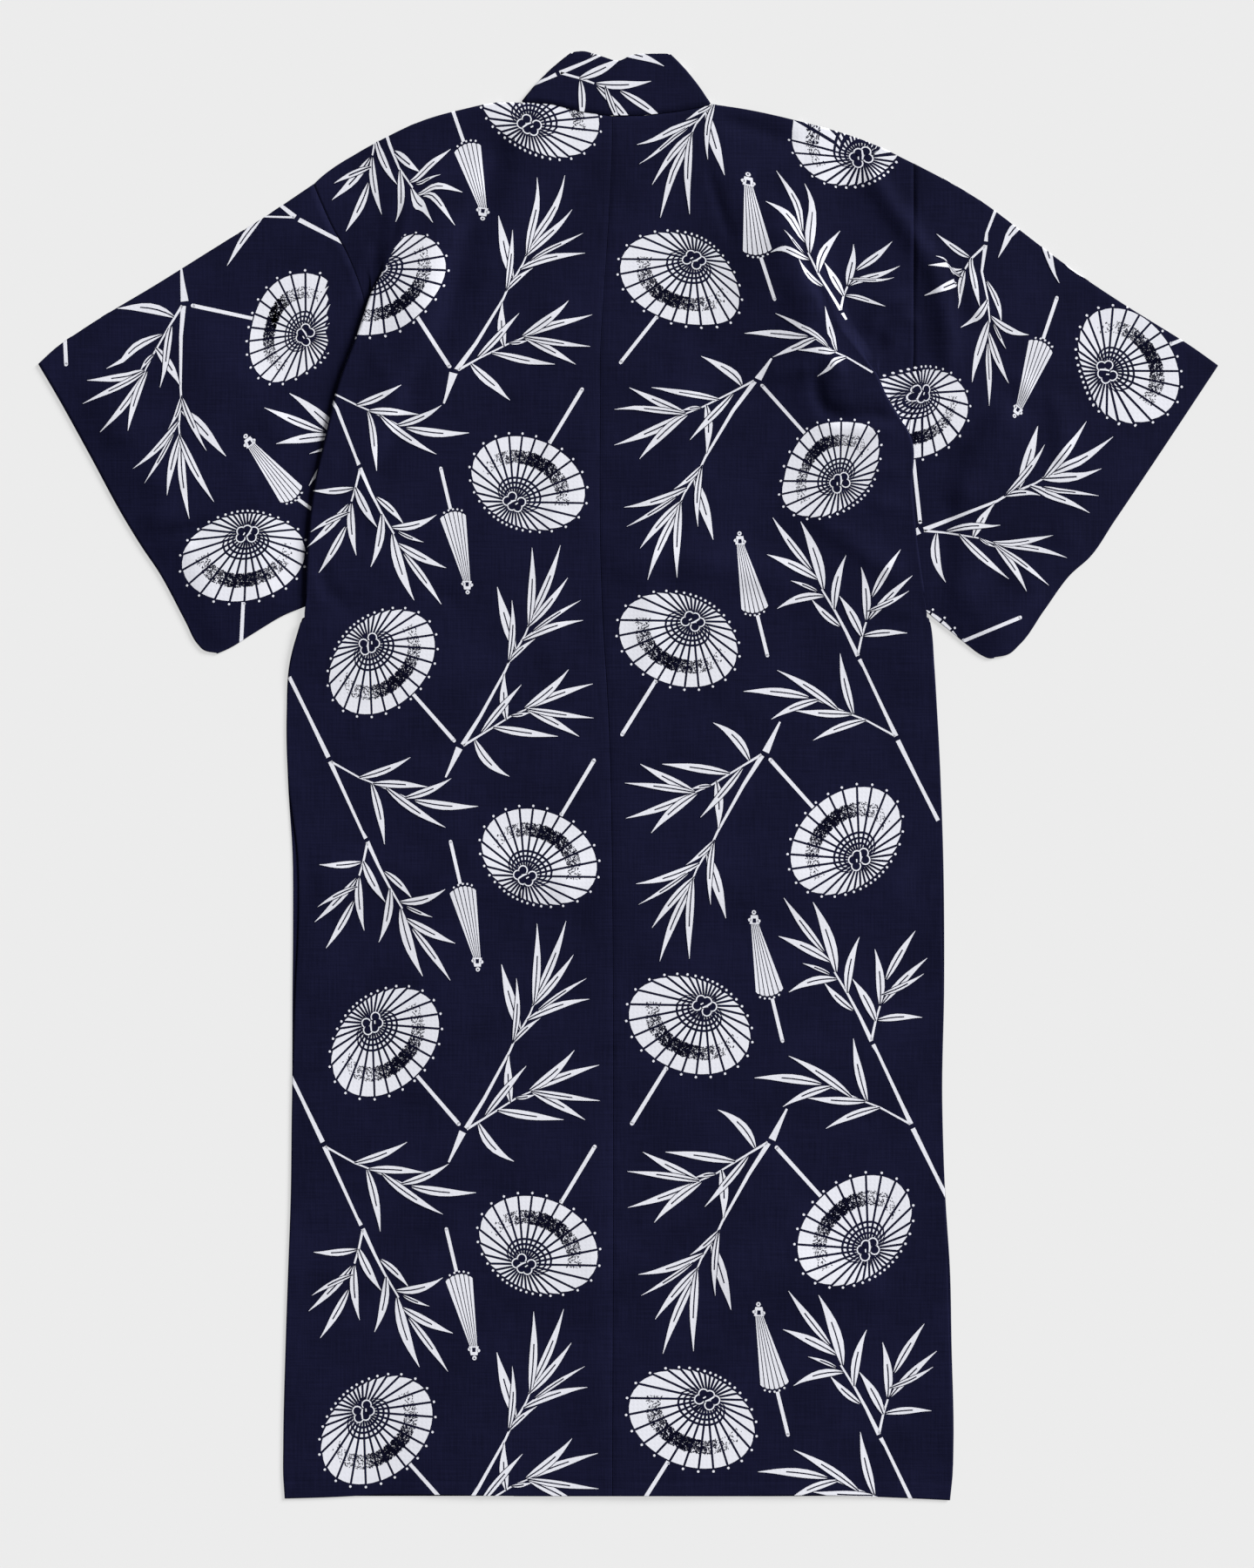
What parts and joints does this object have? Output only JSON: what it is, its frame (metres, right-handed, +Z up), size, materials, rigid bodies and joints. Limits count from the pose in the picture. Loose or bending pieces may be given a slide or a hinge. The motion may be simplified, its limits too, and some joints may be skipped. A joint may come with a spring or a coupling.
{
  "type": "yukata kimono laid flat",
  "caption": "Straight-cut unlined summer kimono with short wide sleeves and a narrow doubled collar, laid flat on its front with its back up.",
  "frame": {"origin": "centre of the footprint, on the surface that the garment lies on", "axes": "+Z up from the surface, +Y from the hem towards the neck, +X towards the wearer's right, which is the right of the view of the back"},
  "size_m": [1.2052, 1.4788, 0.0119],
  "materials": {
    "navy_cotton": "matte plain-weave cotton, dyed navy with a resist print left white",
    "white_print": "undyed white of the print, matte"
  },
  "bodies": {
    "root": {"body_left": "navy_cotton", "body_right": "navy_cotton", "overlap_left": "navy_cotton", "overlap_right": "navy_cotton", "sleeve_left": "navy_cotton", "sleeve_right": "navy_cotton", "collar": "navy_cotton"}
  },
  "joints": []
}
